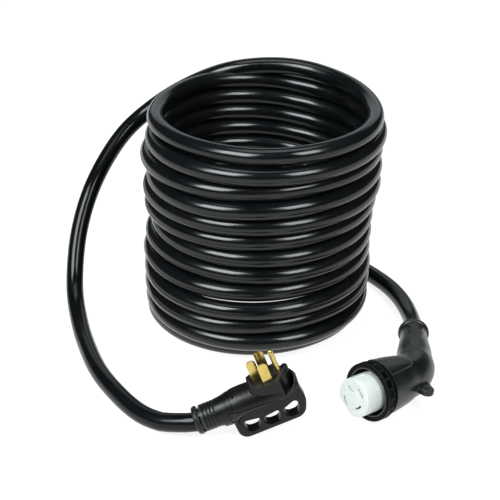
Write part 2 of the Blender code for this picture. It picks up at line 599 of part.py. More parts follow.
def ell(off):
    """L-shaped ground slot: a radial leg and a short inward foot."""
    o = polar(17.0, 52.0)
    k = polar(12.6, 52.0)
    f = polar(9.4, 74.0)
    w = 1.1 + off
    ov, kv, fv = Vector(o), Vector(k), Vector(f)
    d1, d2 = (kv - ov).normalized(), (fv - kv).normalized()
    n1, n2 = Vector((-d1.y, d1.x)), Vector((-d2.y, d2.x))
    ov, fv = ov - d1 * off, fv + d2 * off
    mb = (n1 + n2).normalized()
    mb = mb / mb.dot(n1)
    return [tuple(ov + n1 * w), tuple(kv + mb * w), tuple(fv + n2 * w), tuple(fv - n2 * w), tuple(kv - mb * w), tuple(ov - n1 * w)]


boolean(carrier, cutter("carrier_slot_ground", bm_prism(ell(0.35), CX0 - 5, 30, "x"), CONN_M), "DIFFERENCE")
add_mesh("connector_ground_contact", bm_prism(ell(-0.35), CX0 - 6, 12.0, "x"), "brass_contact", CONN_M)
key = cutter("carrier_key", bm_prism([polar(26.6, -91), polar(26.6, -19), polar(60, -40), polar(60, -70)], -8.0, 30, "x"), CONN_M)
boolean(carrier, key, "DIFFERENCE")
key = cutter("carrier_step", bm_prism([polar(24.8, 72), polar(24.8, 84), polar(40, 84), polar(40, 72)], -8.0, 30, "x"), CONN_M)
boolean(carrier, key, "DIFFERENCE")
for i, deg in enumerate((0.0, 180.0)):
    c = polar(20.6, deg)
    boolean(carrier, cutter("screw_bore_%d" % i, bm_cyl(c, "x", 2.3, CX0 - 5, -28.0, 12), CONN_M), "DIFFERENCE")
    rings = []
    for h, rr in ((CX0 - 3.2, 3.0), (CX0 - 2.8, 3.3), (CX0 - 0.4, 3.3), (CX0 - 0.39, 1.9), (-29.0, 1.9)):
        rings.append([(h, c[0] + rr * math.cos(2 * math.pi * j / 12), c[1] + rr * math.sin(2 * math.pi * j / 12)) for j in range(12)])
    add_mesh("carrier_screw_%d" % (i + 1), bm_loft(rings), "zinc_screw", CONN_M)

# four conductors from the cord end round the elbow to the contact tails
s_end = 44.0 + 0.6
for i, (nm, mat) in enumerate((("line_1", "wire_black"), ("line_2", "wire_red"), ("neutral", "wire_white"), ("ground", "wire_green"))):
    if nm == "ground":
        goal = Vector(polar(13.6, 54.0))
    else:
        r, d0, d1 = CONTACTS[nm]
        goal = Vector(polar(r, (d0 + d1) / 2))
    # order the cores round the cord like the contacts so none cross
    t0 = math.atan2(goal.y, goal.x)
    pts = []
    for s in (s_end, s_end + 9, E0 + 4, (E0 + E1) / 2, E1 - 4):
        p, d = centreline(s)
        w = zup.cross(d).normalized()
        rr = 6.3 + 2.2 * min(1.0, (s - s_end) / (E1 - s_end))
        pts.append(p - w * (-rr * math.cos(t0)) + zup * (rr * math.sin(t0)))
    xe = CX0 - 6 - 0.6
    for f, x in ((1.0, xe - 5.0), (1.0, xe)):
        pts.append(Vector((x, goal.x * f, goal.y * f)))
    tube("connector_wire_" + nm, [p * MM for p in catmull(pts, 6.0)], WIRE_R, mat, CONN_M, 1)
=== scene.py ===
# Looks of the shore power cord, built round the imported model.
import bpy, bmesh, math
import numpy as np
from mathutils import Vector, Matrix


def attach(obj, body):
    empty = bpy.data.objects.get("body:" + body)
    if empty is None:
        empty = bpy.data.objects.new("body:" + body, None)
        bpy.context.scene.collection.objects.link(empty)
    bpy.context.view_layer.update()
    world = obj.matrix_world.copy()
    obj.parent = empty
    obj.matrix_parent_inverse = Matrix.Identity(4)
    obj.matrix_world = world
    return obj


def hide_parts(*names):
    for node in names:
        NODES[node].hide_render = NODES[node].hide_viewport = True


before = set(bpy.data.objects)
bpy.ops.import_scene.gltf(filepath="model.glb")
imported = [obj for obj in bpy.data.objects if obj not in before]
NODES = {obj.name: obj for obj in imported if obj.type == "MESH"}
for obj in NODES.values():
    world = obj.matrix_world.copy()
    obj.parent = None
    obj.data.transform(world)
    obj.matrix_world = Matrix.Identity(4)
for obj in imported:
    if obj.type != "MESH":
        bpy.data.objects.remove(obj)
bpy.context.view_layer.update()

MM = 0.001
CORD_D = 25.4
CORD_R = CORD_D / 2
BASE_X, BASE_Y = -18.44, -69.25

# ------------------------------------------------------------------ frames shared with the CAD
PLUG_O = (0.836, -12.418, 2.491)
CONN_O = (5.70, -11.30, 1.606)
FACE_B = 24.8
HOT_C, NEUTRAL_A, GROUND_A = 15.0, -12.8, 16.05
# finger holes: outlines in the plane of the handle, flat-topped under the body
HOLES = (((-50.6, -22.8), (-29.6, -26.0), (-29.6, -42.2), (-50.6, -42.2)),
         ((-24.4, -27.8), (-2.6, -25.0), (-2.6, -42.4), (-24.4, -42.4)),
         ((3.2, -27.2), (23.8, -19.0), (23.8, -42.0), (3.2, -42.0)))
HOLE_R = ((4.0, 2.5, 8.5, 8.5), (3.0, 3.0, 8.5, 8.5), (4.0, 4.0, 8.5, 8.5))


def to_world(v):
    return Vector(((v[0] * CORD_D - BASE_X) * MM, (v[1] * CORD_D - BASE_Y) * MM, v[2] * CORD_D * MM))


def frame_matrix(origin, ex, ey, ez):
    m = Matrix.Identity(4)
    for i in range(3):
        m[i][0], m[i][1], m[i][2], m[i][3] = ex[i], ey[i], ez[i], origin[i]
    return m


yaw, rise, roll = (math.radians(v) for v in (8.5, 20.0, 0.6))
AX_A = Vector((math.cos(rise) * math.cos(yaw), math.cos(rise) * math.sin(yaw), math.sin(rise)))
side = Vector((-math.sin(yaw), math.cos(yaw), 0.0))
AX_B = math.cos(roll) * AX_A.cross(side) + math.sin(roll) * side
AX_C = AX_A.cross(AX_B)
PLUG_M = frame_matrix(to_world(PLUG_O), AX_A, -AX_C, AX_B)
cyaw, cpit = math.radians(40.1), math.radians(5.6)
AX_M = Vector((-math.cos(cpit) * math.cos(cyaw), -math.cos(cpit) * math.sin(cyaw), math.sin(cpit)))
AX_S = AX_M.cross(Vector((0, 0, 1))).normalized()
AX_V = AX_S.cross(AX_M)
CONN_M = frame_matrix(to_world(CONN_O), AX_M, -AX_S, AX_V)

# ------------------------------------------------------------------ camera
cam_data = bpy.data.cameras.new("camera")
cam_data.lens = 90.0
cam_data.sensor_width = 36.0
cam_data.clip_end = 50
cam = bpy.data.objects.new("camera", cam_data)
bpy.context.scene.collection.objects.link(cam)
cam.location = to_world((-0.3236, -65.009, 37.925))
cam.rotation_euler = (math.pi / 2 - 0.480872, 0.0, 0.0)
bpy.context.scene.camera = cam
bpy.context.scene.view_settings.view_transform = "Standard"
bpy.context.scene.view_settings.look = "None"


# ------------------------------------------------------------------ materials
def new_mat(name):
    m = bpy.data.materials.new(name)
    m.use_nodes = True
    nt = m.node_tree
    return m, nt, nt.nodes["Principled BSDF"]


def node(nt, kind, **inputs):
    n = nt.nodes.new(kind)
    for k, v in inputs.items():
        key = k.replace("_", " ")
        if key in n.inputs:
            n.inputs[key].default_value = v
    return n


def noise(nt, scale, detail=4.0, rough=0.55, vec=None):
    n = nt.nodes.new("ShaderNodeTexNoise")
    n.inputs["Scale"].default_value = scale
    n.inputs["Detail"].default_value = detail
    n.inputs["Roughness"].default_value = rough
    if vec is not None:
        nt.links.new(vec, n.inputs["Vector"])
    return n


def ramp(nt, fac, lo, hi, a=0.3, b=0.7):
    """Map a factor to a number range."""
    r = nt.nodes.new("ShaderNodeMapRange")
    r.inputs["From Min"].default_value = a
    r.inputs["From Max"].default_value = b
    r.inputs["To Min"].default_value = lo
    r.inputs["To Max"].default_value = hi
    nt.links.new(fac, r.inputs["Value"])
    return r


def mixcol(nt, fac, c1, c2):
    m = nt.nodes.new("ShaderNodeMix")
    m.data_type = "RGBA"
    m.inputs[6].default_value = (*c1, 1)
    m.inputs[7].default_value = (*c2, 1)
    nt.links.new(fac, m.inputs[0])
    return m


def bump(nt, height, strength, dist, prev=None):
    b = nt.nodes.new("ShaderNodeBump")
    b.inputs["Strength"].default_value = strength
    b.inputs["Distance"].default_value = dist
    nt.links.new(height, b.inputs["Height"])
    if prev is not None:
        nt.links.new(prev, b.inputs["Normal"])
    return b


def rubber(name, base, light, rough, coarse, fine, spec=0.5, grain=0.00004, edge=0.10):
    """Moulded or extruded black compound: mottled sheen, fine grain, and convex edges painted paler as a painted
    highlight (edge sets how strong).
    """
    m, nt, p = new_mat(name)
    tc = nt.nodes.new("ShaderNodeTexCoord")
    o = tc.outputs["Object"]
    n1 = noise(nt, coarse, 5, 0.6, o)
    n2 = noise(nt, fine, 3, 0.6, o)
    col = mixcol(nt, ramp(nt, n1.outputs["Fac"], 0, 1).outputs[0], base, light)
    geo = nt.nodes.new("ShaderNodeNewGeometry")
    # convex edges, found by pointiness, are mixed toward pale grey: a painted highlight along the rims
    edge_highlight_mask = ramp(nt, geo.outputs["Pointiness"], 0.0, edge, 0.52, 0.62)
    col2 = nt.nodes.new("ShaderNodeMix")
    col2.data_type = "RGBA"
    nt.links.new(edge_highlight_mask.outputs[0], col2.inputs[0])
    nt.links.new(col.outputs[2], col2.inputs[6])
    # the pale grey of the painted edge highlight
    col2.inputs[7].default_value = (0.16, 0.165, 0.17, 1)
    nt.links.new(col2.outputs[2], p.inputs["Base Color"])
    r = ramp(nt, n1.outputs["Fac"], rough - 0.05, rough + 0.06)
    nt.links.new(r.outputs[0], p.inputs["Roughness"])
    b1 = bump(nt, n2.outputs["Fac"], 0.5, grain)
    b2 = bump(nt, n1.outputs["Fac"], 0.25, grain * 4, b1.outputs[0])
    nt.links.new(b2.outputs[0], p.inputs["Normal"])
    p.inputs["Specular IOR Level"].default_value = spec
    return m


def brass(name, c1, c2, rough):
    m, nt, p = new_mat(name)
    tc = nt.nodes.new("ShaderNodeTexCoord")
    mp = nt.nodes.new("ShaderNodeMapping")
    mp.inputs["Scale"].default_value = (1, 1, 0.12)
    nt.links.new(tc.outputs["Object"], mp.inputs["Vector"])
    n1 = noise(nt, 900, 3, 0.6, mp.outputs[0])
    n2 = noise(nt, 110, 4, 0.6, tc.outputs["Object"])
    col = mixcol(nt, ramp(nt, n2.outputs["Fac"], 0, 1).outputs[0], c1, c2)
    nt.links.new(col.outputs[2], p.inputs["Base Color"])
    p.inputs["Metallic"].default_value = 1.0
    r = ramp(nt, n2.outputs["Fac"], rough - 0.06, rough + 0.08)
    nt.links.new(r.outputs[0], p.inputs["Roughness"])
    b = bump(nt, n1.outputs["Fac"], 0.35, 0.00003)
    nt.links.new(b.outputs[0], p.inputs["Normal"])
    return m


def plastic(name, c1, c2, rough, scale=60.0, grain=0.00003, sss=0.0):
    m, nt, p = new_mat(name)
    tc = nt.nodes.new("ShaderNodeTexCoord")
    n1 = noise(nt, scale, 4, 0.6, tc.outputs["Object"])
    n2 = noise(nt, scale * 25, 2, 0.5, tc.outputs["Object"])
    col = mixcol(nt, ramp(nt, n1.outputs["Fac"], 0, 1).outputs[0], c1, c2)
    nt.links.new(col.outputs[2], p.inputs["Base Color"])
    r = ramp(nt, n1.outputs["Fac"], rough - 0.05, rough + 0.05)
    nt.links.new(r.outputs[0], p.inputs["Roughness"])
    b = bump(nt, n2.outputs["Fac"], 0.4, grain)
    nt.links.new(b.outputs[0], p.inputs["Normal"])
    if sss:
        p.inputs["Subsurface Weight"].default_value = sss
        p.inputs["Subsurface Radius"].default_value = (0.002, 0.002, 0.002)
    return m


MAT_CORD = rubber("jacket", (0.0020, 0.0026, 0.0030), (0.0038, 0.0046, 0.0052), 0.175, 24, 700, 0.37, 0.00002, 0.0)
MAT_PLUG = rubber("plug_rubber", (0.0022, 0.0024, 0.0028), (0.0044, 0.0047, 0.0053), 0.32, 40, 1400, 0.36, 0.00003, 0.22)
MAT_CONN = rubber("connector_rubber", (0.0030, 0.0043, 0.0045), (0.0056, 0.0076, 0.0079), 0.32, 40, 1400, 0.42, 0.00003, 0.18)
MAT_RING = rubber("ring_plastic", (0.0010, 0.0013, 0.0014), (0.0022, 0.0026, 0.0027), 0.28, 60, 1600, 0.15, 0.00002, 0.16)
MAT_FACE = rubber("face_plastic", (0.0024, 0.0026, 0.0028), (0.0044, 0.0047, 0.0050), 0.42, 60, 1500, 0.35, 0.00003, 0.3)
MAT_SEAL = rubber("seal", (0.008, 0.008, 0.008), (0.012, 0.012, 0.012), 0.6, 80, 1500, 0.4, 0.00003, 0.1)
# the uncoiled ends are given a lower sheen than the coil
nt_ = MAT_CORD.node_tree
bsdf_ = [n_ for n_ in nt_.nodes if n_.type == "BSDF_PRINCIPLED"][0]
pos_ = nt_.nodes.new("ShaderNodeNewGeometry")
off_ = nt_.nodes.new("ShaderNodeVectorMath")
off_.operation = "SUBTRACT"
off_.inputs[1].default_value = (0.0233, 0.0693, 0.0)
flat_ = nt_.nodes.new("ShaderNodeVectorMath")
flat_.operation = "MULTIPLY"
flat_.inputs[1].default_value = (1.0, 1.0, 0.0)
len_ = nt_.nodes.new("ShaderNodeVectorMath")
len_.operation = "LENGTH"
nt_.links.new(pos_.outputs["Position"], off_.inputs[0])
nt_.links.new(off_.outputs[0], flat_.inputs[0])
nt_.links.new(flat_.outputs[0], len_.inputs[0])
dull_ = nt_.nodes.new("ShaderNodeMapRange")
dull_.interpolation_type = "SMOOTHSTEP"
dull_.inputs["From Min"].default_value = 0.184
dull_.inputs["From Max"].default_value = 0.215
dull_.inputs["To Min"].default_value = 0.37
dull_.inputs["To Max"].default_value = 0.225
nt_.links.new(len_.outputs["Value"], dull_.inputs["Value"])
nt_.links.new(dull_.outputs["Result"], bsdf_.inputs["Specular IOR Level"])
for m_, ior in ((MAT_RING, 1.27), (MAT_PLUG, 1.41)):
    for n_ in m_.node_tree.nodes:
        if n_.type == "BSDF_PRINCIPLED":
            n_.inputs["IOR"].default_value = ior
MAT_WHITE = plastic("carrier_white", (0.525, 0.568, 0.550), (0.570, 0.614, 0.596), 0.34, 50, 0.00002, 0.05)
MAT_BLADE = brass("blades", (0.52, 0.385, 0.095), (0.68, 0.525, 0.185), 0.24)
MAT_CONTACT = brass("contacts", (0.70, 0.50, 0.18), (0.78, 0.58, 0.25), 0.36)
MAT_SCREW = brass("screws", (0.55, 0.56, 0.57), (0.66, 0.67, 0.68), 0.33)
MAT_CLIP = plastic("clip_plastic", (0.02, 0.021, 0.021), (0.03, 0.031, 0.031), 0.45)
WIRE_MATS = {
    "wire_black": plastic("wire_black", (0.015, 0.015, 0.015), (0.02, 0.02, 0.02), 0.4),
    "wire_red": plastic("wire_red", (0.40, 0.015, 0.015), (0.48, 0.02, 0.02), 0.4),
    "wire_white": plastic("wire_white", (0.70, 0.70, 0.67), (0.78, 0.78, 0.75), 0.4),
    "wire_green": plastic("wire_green", (0.015, 0.26, 0.05), (0.02, 0.32, 0.07), 0.4),
}


# ------------------------------------------------------------------ mesh helpers
def finish_mesh(name, bm, mat, M=None, smooth=35.0):
    bmesh.ops.remove_doubles(bm, verts=bm.verts, dist=1e-7)
    bmesh.ops.recalc_face_normals(bm, faces=bm.faces)
    me = bpy.data.meshes.new(name)
    bm.to_mesh(me)
    bm.free()
    ob = bpy.data.objects.new(name, me)
    bpy.context.scene.collection.objects.link(ob)
    if M is not None:
        me.transform(M)
    if mat:
        me.materials.append(mat)
    for p in me.polygons:
        p.use_smooth = True
    if smooth is not None:
        me.set_sharp_from_angle(angle=math.radians(smooth))
    return ob


def bm_loft(rings, closed=False):
    bm = bmesh.new()
    vr = [[bm.verts.new(Vector(p) * MM) for p in ring] for ring in rings]
    n, k = len(rings[0]), len(vr)
    for i in range(k if closed else k - 1):
        r0, r1 = vr[i], vr[(i + 1) % k]
        for j in range(n):
            bm.faces.new((r0[j], r0[(j + 1) % n], r1[(j + 1) % n], r1[j]))
    if not closed:
        bm.faces.new(list(reversed(vr[0])))
        bm.faces.new(vr[-1])
    return bm


def bm_prism(outline, lo, hi, axis, edge=0.0, steps=1):
    """Extruded outline; edge > 0 rounds the two rims by that radius."""
    def at(p, h):
        return (p[0], h, p[1]) if axis == "y" else ((h, p[0], p[1]) if axis == "x" else (p[0], p[1], h))
    layers = []
    if edge > 0:
        for k in range(steps + 1):
            t = math.pi / 2 * k / steps
            layers.append((lo + edge * (1 - math.sin(t)) if False else lo + edge - edge * math.cos(t), edge * (1 - math.sin(t))))
        up = [(hi - (h - lo), off) for h, off in reversed(layers)]
        layers = layers + up
    else:
        layers = [(lo, 0.0), (hi, 0.0)]
    return bm_loft([[at(p, h) for p in (inset(outline, off) if off > 1e-6 else outline)] for h, off in layers])


def inset(outline, off):
    n = len(outline)
    area = sum(outline[i - 1][0] * outline[i][1] - outline[i][0] * outline[i - 1][1] for i in range(n))
    sgn = 1 if area > 0 else -1
    res = []
    for i in range(n):
        p0, p1, p2 = Vector(outline[i - 1]), Vector(outline[i]), Vector(outline[(i + 1) % n])
        e1, e2 = (p1 - p0), (p2 - p1)
        e1 = e1.normalized() if e1.length > 1e-9 else e2.normalized()
        e2 = e2.normalized() if e2.length > 1e-9 else e1
        n1, n2 = Vector((-e1.y, e1.x)) * sgn, Vector((-e2.y, e2.x)) * sgn
        b = n1 + n2
        b = b.normalized() if b.length > 1e-6 else n1
        res.append(tuple(p1 + b * (off / max(0.5, b.dot(n1)))))
    return res


def rounded(points, radii, seg=6):
    out = []
    n = len(points)
    for i in range(n):
        p0, p1, p2 = Vector(points[i - 1]), Vector(points[i]), Vector(points[(i + 1) % n])
        r = radii[i] if isinstance(radii, (list, tuple)) else radii
        if r <= 0:
            out.append((p1.x, p1.y))
            continue
        u, v = (p0 - p1).normalized(), (p2 - p1).normalized()
        ang = u.angle(v)
        d = r / math.tan(ang / 2)
        c = p1 + (u + v).normalized() * (r / math.sin(ang / 2))
        a0 = math.atan2((p1 + u * d - c).y, (p1 + u * d - c).x)
        a1 = math.atan2((p1 + v * d - c).y, (p1 + v * d - c).x)
        da = (a1 - a0 + math.pi) % (2 * math.pi) - math.pi
        for k in range(seg + 1):
            t = a0 + da * k / seg
            out.append((c.x + r * math.cos(t), c.y + r * math.sin(t)))
    return out


def turned(profile, n=96):
    rings = [[(x, r * math.cos(2 * math.pi * j / n), r * math.sin(2 * math.pi * j / n)) for j in range(n)] for x, r in profile]
    return bm_loft(rings, closed=True)


def bm_cyl(center, axis, r, lo, hi, n=32):
    rings = []
    for h in (lo, hi):
        ring = []
        for j in range(n):
            t = 2 * math.pi * j / n
            u, w = r * math.cos(t), r * math.sin(t)
            ring.append((h, center[0] + u, center[1] + w) if axis == "x" else
                        ((center[0] + u, h, center[1] + w) if axis == "y" else (center[0] + u, center[1] + w, h)))
        rings.append(ring)
    return bm_loft(rings)


def bm_box(lo, hi):
    return bm_prism([(lo[0], lo[1]), (hi[0], lo[1]), (hi[0], hi[1]), (lo[0], hi[1])], lo[2], hi[2], "z")


def tool(bm, M=None):
    ob = finish_mesh("cut_tmp", bm, None, M, None)
    return ob


def apply_boolean(ob, bm_or_obs, op, M=None):
    """Apply boolean tools right away and delete them."""
    tools = [t if isinstance(t, bpy.types.Object) else tool(t, M) for t in (bm_or_obs if isinstance(bm_or_obs, list) else [bm_or_obs])]
    for t in tools:
        md = ob.modifiers.new("b", "BOOLEAN")
        md.operation = op
        md.solver = "EXACT"
        md.object = t
    bake(ob)
    for t in tools:
        me = t.data
        bpy.data.objects.remove(t)
        bpy.data.meshes.remove(me)


def bake(ob):
    """Replace the mesh by its evaluated one and drop the modifiers."""
    bpy.context.view_layer.update()
    dg = bpy.context.evaluated_depsgraph_get()
    me = bpy.data.meshes.new_from_object(ob.evaluated_get(dg), preserve_all_data_layers=False, depsgraph=dg)
    old = ob.data
    ob.modifiers.clear()
    ob.data = me
    bpy.data.meshes.remove(old)
    ob.data.name = ob.name


def melt(ob, voxel, smooth_iter, factor=0.5, ratio=1.0):
    """Fuse overlapping solids and soften their edges the way moulded rubber is."""
    md = ob.modifiers.new("v", "REMESH")
    md.mode = "VOXEL"
    md.voxel_size = voxel * MM
    md.use_smooth_shade = True
    if smooth_iter:
        sm = ob.modifiers.new("s", "SMOOTH")
        sm.factor = factor
        sm.iterations = smooth_iter
    if ratio < 1:
        dm = ob.modifiers.new("d", "DECIMATE")
        dm.ratio = ratio
    bake(ob)
    for p in ob.data.polygons:
        p.use_smooth = True


def bevel(ob, width, segs=2, angle=35.0):
    md = ob.modifiers.new("edge", "BEVEL")
    md.width = width * MM
    md.segments = segs
    md.limit_method = "ANGLE"
    md.angle_limit = math.radians(angle)
    md.harden_normals = False
    bake(ob)
    ob.data.set_sharp_from_angle(angle=math.radians(45))


def set_mat(ob, mat):
    ob.data.materials.clear()
    ob.data.materials.append(mat)


def place(ob, body, slot, *nodes):
    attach(ob, body)
    if nodes:
        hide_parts(*nodes)
    return ob


def catmull(ctrl, step):
    P = [Vector(c) for c in ctrl]
    P = [P[0] * 2 - P[1]] + P + [P[-1] * 2 - P[-2]]
    fine = []
    for i in range(1, len(P) - 2):
        for k in range(24):
            t = k / 24
            fine.append(0.5 * ((2 * P[i]) + (P[i + 1] - P[i - 1]) * t
                        + (2 * P[i - 1] - 5 * P[i] + 4 * P[i + 1] - P[i + 2]) * t * t
                        + (3 * P[i] - 3 * P[i + 1] + P[i + 2] - P[i - 1]) * t ** 3))
    fine.append(P[-2])
    return fine


# ------------------------------------------------------------------ the cord
# Layout axes, one unit = one cord diameter, coil axis near the origin.
START_DEG = 51.0          # where the bottom turn begins, 0 = +X, counter-clockwise from above
TURNS = 13.108            # ends at the back, over the rim
PER_TURN = 72
# radial lay of each turn, in cord diameters, six stations a turn from the bottom up (fitted values)
LAY = [
    -0.20, -0.25, 0.00, -0.75, -1.05, -0.45,
    -0.20, 0.00, 0.00, -0.05, 0.05, 0.00,
    -0.30, -0.10, 0.00, 0.10, -0.20, 0.00,
    0.00, 0.00, 0.00, 0.15, 0.05, 0.00,
    0.05, 0.00, 0.10, -0.15, -0.30, -0.10,
    -0.05, -0.05, 0.00, -0.45, -0.25, -0.10,
    0.00, 0.00, -0.35, -0.50, -0.30, -0.10,
    0.05, 0.00, 0.00, -0.35, -0.45, 0.00,
    0.05, 0.00, 0.05, -0.20, -0.25, 0.20,
    0.20, 0.05, -0.25, 0.00, -0.20, 0.20,
    0.20, 0.15, 0.15, -0.15, -0.45, 0.15,
    0.15, 0.10, -0.15, -0.25, 0.00, 0.30,
    0.25, 0.15, -0.20, -0.85, -0.20, 0.05,
]


def lay_offset(t):
    """Smooth offset at t turns from the bottom."""
    x = t * 6
    i = int(math.floor(x))
    f = x - i
    g = lambda k: LAY[min(max(k, 0), len(LAY) - 1)]
    p0, p1, p2, p3 = g(i - 1), g(i), g(i + 1), g(i + 2)
    return 0.5 * (2 * p1 + (p2 - p0) * f + (2 * p0 - 5 * p1 + 4 * p2 - p3) * f * f + (3 * p1 - 3 * p2 + p3 - p0) * f ** 3)


def coil_path():
    n = int(round(TURNS * PER_TURN))
    t = np.arange(n + 1) / PER_TURN
    az = math.radians(START_DEG) + 2 * math.pi * t
    s = t / TURNS
    R = 6.06 + 0.19 * s + np.array([lay_offset(v) for v in t])
    # the first quarter turn is still spiralling in from the floor lead
    R += 1.27 * (0.5 + 0.5 * np.cos(np.pi * np.clip(t / 0.30, 0, 1)))
    cx = 0.03 + 0.32 * s
    z = 0.5 + 0.96 * t
    for it in range(160):
        req = np.full(n + 1, 0.5)
        d = R[PER_TURN:] - R[:-PER_TURN]
        ok = np.abs(d) < 0.98
        up = z[:-PER_TURN] + np.sqrt(np.clip(1.0 - d * d, 0, 1))
        req[PER_TURN:] = np.where(ok, up, 0.5)
        k = np.array([1, 4, 7, 8, 7, 4, 1.0]); k /= k.sum()
        zp = np.concatenate([np.full(3, z[0]), z, np.full(3, z[-1])])
        sm = np.convolve(zp, k, "valid")
        sm -= 0.004          # weight
        z = np.maximum(sm, req)
        z[-PER_TURN // 6:] = np.maximum(z[-PER_TURN // 6:], req[-PER_TURN // 6:])
    # the top turn lifts off the stack where it leaves it
    z = z + np.interp(t, (12.55, 12.70, 12.85, 12.98, 13.108), (0, 0.04, -0.10, 0.10, 0.22))
    return np.stack([cx + R * np.cos(az), R * np.sin(az), z], -1)


def plug_point(a):
    return Vector(PLUG_O) + AX_A * (a / CORD_D)


LEAD_PLUG = [(1.00, 6.22, 13.20), (-1.75, 6.45, 12.80), (-4.40, 7.12, 11.46),
             (-6.40, 7.60, 9.96), (-8.20, 6.50, 8.60), (-9.75, 3.90, 6.60), (-10.60, 1.97, 4.15),
             (-10.75, -0.10, 1.72), (-10.35, -2.10, 0.86), (-9.74, -4.30, 0.52), (-8.63, -7.46, 0.50),
             (-7.30, -9.85, 0.50), (-6.07, -11.52, 0.50), (-4.95, -12.44, 0.62)]
NECK_START = Vector((8.94, -4.40, 0.95))
ELBOW = Vector((8.46, -8.98, 1.222))
NECK_DIR = (ELBOW - NECK_START).normalized()
LEAD_CONN = [(5.95, 4.72, 0.505), (7.17, 3.49, 0.505), (7.98, 2.28, 0.505), (8.52, 1.10, 0.505),
             (8.87, -0.15, 0.51), (9.06, -1.50, 0.56), (9.08, -2.80, 0.74)]

coil = coil_path()
top = [Vector(p) for p in coil[::-1]]
ctrl = [plug_point(-96.0), plug_point(-105.0), plug_point(-112.5)] + [Vector(p) for p in reversed(LEAD_PLUG)]
ctrl += top[6:-6:6]
ctrl += [Vector(p) for p in LEAD_CONN] + [NECK_START - NECK_DIR * (11.0 / CORD_D), NECK_START, NECK_START + NECK_DIR * (10.0 / CORD_D)]


def resample(pts, step):
    P = np.array([tuple(p) for p in pts])
    seg = np.linalg.norm(np.diff(P, axis=0), axis=1)
    s = np.concatenate([[0], np.cumsum(seg)])
    n = int(round(s[-1] / step))
    u = np.linspace(0, s[-1], n + 1)
    return np.stack([np.interp(u, s, P[:, k]) for k in range(3)], -1)


route = resample(catmull(ctrl, 0.5), 0.48)
# the jacket never sinks into the floor
for _ in range(3):
    sm = route.copy()
    sm[1:-1] = 0.25 * route[:-2] + 0.5 * route[1:-1] + 0.25 * route[2:]
    sm[:6], sm[-6:] = route[:6], route[-6:]
    route = sm
    route[:, 2] = np.maximum(route[:, 2], 0.5)
path_w = [to_world(p) for p in route]


def sweep(name, pts, radius, seg, mat):
    """Round jacket along points in world metres."""
    bm = bmesh.new()
    n = len(pts)
    ref = Vector((0, 0, 1))
    prev = None
    rings = []
    for i in range(n):
        d = (pts[min(i + 1, n - 1)] - pts[max(i - 1, 0)]).normalized()
        if prev is None:
            u = d.cross(ref).normalized()
        else:
            u = (prev - d * prev.dot(d)).normalized()
        prev = u
        w = d.cross(u)
        rings.append([bm.verts.new(pts[i] + (u * math.cos(2 * math.pi * j / seg) + w * math.sin(2 * math.pi * j / seg)) * radius)
                      for j in range(seg)])
    for i in range(n - 1):
        for j in range(seg):
            bm.faces.new((rings[i][j], rings[i][(j + 1) % seg], rings[i + 1][(j + 1) % seg], rings[i + 1][j]))
    bm.faces.new(list(reversed(rings[0])))
    bm.faces.new(rings[-1])
    return finish_mesh(name, bm, mat, None, 60)


cord = sweep("cord", path_w, CORD_R * MM, 28, MAT_CORD)
place(cord, "cord_set", "jacket", "cord_coil", "cord_lead_plug", "cord_lead_connector")


# ------------------------------------------------------------------ plug
def superring(x, w, top_h, bot_h, nt=2.0, nb=2.0, n=64):
    ring = []
    for j in range(n):
        t = 2 * math.pi * j / n
        c, s = math.cos(t), math.sin(t)
        e = nt if s >= 0 else nb
        h = top_h if s >= 0 else bot_h
        ring.append((x, w * math.copysign(abs(c) ** (2 / e), c), h * math.copysign(abs(s) ** (2 / e), s)))
    return ring


def table(rows, n):
    """Smoothly resampled station table."""
    out = []
    for i in range(len(rows) - 1):
        p0, p1, p2, p3 = rows[max(i - 1, 0)], rows[i], rows[i + 1], rows[min(i + 2, len(rows) - 1)]
        for k in range(n):
            f = k / n
            out.append(tuple(0.5 * (2 * b + (c - a) * f + (2 * a - 5 * b + 4 * c - d) * f * f + (3 * b - 3 * c + d - a) * f ** 3)
                             for a, b, c, d in zip(p0, p1, p2, p3)))
    out.append(tuple(rows[-1]))
    return out


PLUG_SECTIONS = [(-77.6, 18.3, 18.3, 18.3), (-73.2, 18.6, 18.6, 19.4), (-72.0, 18.8, 18.8, 21.8), (-66, 19.6, 19.6, 22.4), (-58, 21.4, 21.4, 21.2), (-50, 22.8, 22.8, 15.5),
                 (-42, 23.2, 23.2, 10.0), (-32, 23.2, 23.2, 8.4), (-12, 23.2, 23.0, 8.4), (8, 23.2, 22.8, 8.2), (17, 22.4, 21.8, 6.2),
                 (24, 19.8, 20.0, 3.6), (28.0, 16.6, 17.4, 2.2), (30.6, 12.6, 14.0, 1.4), (32.0, 8.0, 9.6, 0.8)]
BLOCK = [(-27, -14.4), (-22, -17.6), (-12, -20.0), (4, -21.6), (13.6, -22.2), (17.6, -12.6), (22.5, -9.6), (25.4, -5.0),
         (25.4, 5.0), (22.5, 9.6), (17.6, 12.6), (13.6, 22.2), (4, 21.6), (-12, 20.0), (-22, 17.6), (-27, 14.4)]
HANDLE = rounded([(-63.0, -6.0), (-61.0, -48.8), (28.0, -48.2), (36.4, -25.0), (33.6, -4.0), (35.2, 9.0), (28.6, 21.0), (12.0, 18.0),
                  (4.0, 6.0), (-50.0, 6.0)], [0, 13.0, 16.0, 28.0, 14.0, 9.0, 5.0, 0, 0, 0], 10)

body = finish_mesh("plug_housing", bm_loft([superring(*row) for row in table(PLUG_SECTIONS, 4)]), MAT_PLUG)
hand = finish_mesh("plug_grip", bm_prism(HANDLE, -9.0, 9.0, "y", 2.4, 3), None)
holes = []
for corners, radii in zip(HOLES, HOLE_R):
    out = rounded(list(corners), list(radii), 6)
    flare, flare2 = inset(out, -1.0), inset(out, -0.35)
    layers = [(-9.5, flare), (-8.7, flare2), (-7.6, out), (7.6, out), (8.7, flare2), (9.5, flare)]
    holes.append(bm_loft([[(p[0], h_, p[1]) for p in o] for h_, o in layers]))
apply_boolean(body, [hand], "UNION")
